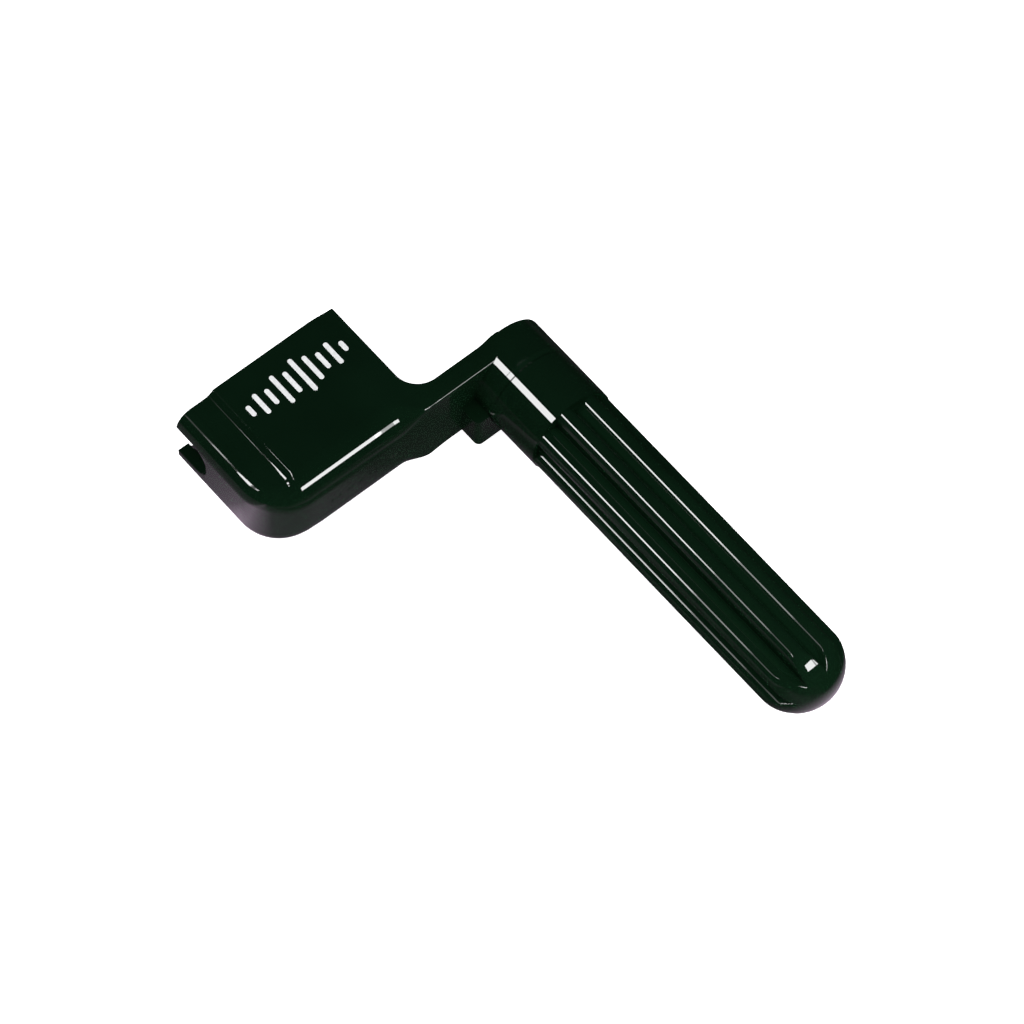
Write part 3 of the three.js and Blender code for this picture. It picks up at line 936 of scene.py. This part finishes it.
def softbox(name, direction, distance, size, radiance,
            along=(1, 0, 0), slide=0.0, shift=(0, 0, 0)):
    """Area light in a given direction from the object, its width along a given line."""
    data = bpy.data.lights.new(name, "AREA")
    data.shape = "RECTANGLE"
    data.size, data.size_y = size
    data.energy = radiance * math.pi * size[0] * size[1]
    obj = bpy.data.objects.new(name, data)
    bpy.context.scene.collection.objects.link(obj)
    out = Vector(direction).normalized()
    across = Vector(along)
    across = (across - out * across.dot(out)).normalized()
    up = out.cross(across)
    obj.matrix_world = Matrix((across, up, out)).transposed().to_4x4()
    obj.location = ORIGIN + out * distance + across * slide + Vector(shift)
    return obj


def plane(name, lift, color):
    """A wide square just under the part."""
    bm = bmesh.new()
    bmesh.ops.create_grid(bm, x_segments=1, y_segments=1, size=1.5)
    obj = to_object(bm, name, scaled=False)
    obj.location.z = CAD_BOX[0][2] + lift
    material, tree, shader = node_tree(name)
    shader.inputs["Base Color"].default_value = color
    shader.inputs["Roughness"].default_value = 0.8
    shader.inputs["Specular IOR Level"].default_value = 0.1
    obj.data.materials.append(material)
    return obj, tree, shader


def floor():
    """White paper, and in the paper's place a plane that only reflections see, glowing with painted
    light and painted shadow.
    """
    paper, _, shader = plane("floor", -0.0002, (0.95, 0.95, 0.955, 1))
    shader.inputs["Emission Color"].default_value = (1, 1, 1, 1)
    shader.inputs["Emission Strength"].default_value = 1.0
    paper.visible_glossy = False

    table, tree, shader = plane("floor_painted_reflection", -0.0001, (0, 0, 0, 1))
    table.visible_camera = False
    table.visible_diffuse = False
    table.visible_shadow = False
    shader.inputs["Specular IOR Level"].default_value = 0.0
    place = tree.nodes.new("ShaderNodeTexCoord").outputs["Object"]
    low, high = TABLE_SPAN
    offset = (ORIGIN.x + TABLE_SKEW * ORIGIN.y) / MM
    along = vector_math(tree, "DOT_PRODUCT", place, (1 / MM, TABLE_SKEW / MM, 0))
    ramp = tree.nodes.new("ShaderNodeValToRGB")
    tree.links.new(remapped(tree, along, (low + offset, high + offset)), ramp.inputs["Fac"])
    stops = ramp.color_ramp.elements
    for i, (place_mm, light) in enumerate(TABLE_PAINTED_LIGHT):
        position = (place_mm - low) / (high - low)
        stop = stops[i] if i < 2 else stops.new(position)
        stop.position = position
        stop.color = (light, 0.76 * light, light, 1)

    # painted shadow darkens the side behind the grip, and painted light glows just beyond the tip
    axes = tree.nodes.new("ShaderNodeSeparateXYZ")
    tree.links.new(place, axes.inputs["Vector"])
    behind = remapped(tree, axes.outputs["Y"], tuple(ORIGIN.y + y * MM for y in BEHIND_GRIP),
                      (1.0, BEHIND_SHADOW_LEVEL))
    dimmed = vector_math(tree, "SCALE", ramp.outputs["Color"], scale=behind)
    tip = (ORIGIN.x + TIP_GLOW_AT[0] * MM, ORIGIN.y + TIP_GLOW_AT[1] * MM, 0)
    away = vector_math(tree, "DISTANCE", place, tip)
    glow = remapped(tree, away, (TIP_GLOW_RADIUS * MM, 0), (0, TIP_GLOW), soft=True)
    tinted = vector_math(tree, "SCALE", (1, 0.8, 1), scale=glow)
    tree.links.new(vector_math(tree, "ADD", dimmed, tinted), shader.inputs["Emission Color"])
    shader.inputs["Emission Strength"].default_value = 1.0


def studio():
    """A row of strips on the left, three boxes near the right, and a soft fill."""
    world = bpy.data.worlds.new("studio")
    world.use_nodes = True
    world.node_tree.nodes["Background"].inputs["Color"].default_value = (0.008, 0.009, 0.012, 1)
    bpy.context.scene.world = world
    bpy.context.scene.view_settings.view_transform = "Standard"
    for name, start, end, radiance, height in LEFT_STRIPS:
        softbox(name, LEFT_DIRECTION, LEFT_DISTANCE, ((end - start) * MM, height), radiance,
                slide=(start + end) / 2 * MM)
    for name, width, radiance, y in RIGHT_BOXES:
        softbox(name, RIGHT_DIRECTION, RIGHT_DISTANCE, (width, RIGHT_HEIGHT), radiance,
                along=(0, 1, 0), shift=(0.0022, y, 0.0075))
    fill = softbox("fill", (0.1, -0.3, 0.95), 1.2, (0.8, 0.8), 4.2)
    fill.visible_glossy = False


camera()
studio()
floor()
crank()
grip()
thrust_ring()
printed_mark()
wall_relief()
finish_node("axle_pin", turned_steel("axle_steel", (0.56, 0.57, 0.58), 0.22))
finish_node("retaining_clip", turned_steel("clip_steel", (0.34, 0.35, 0.36), 0.3))
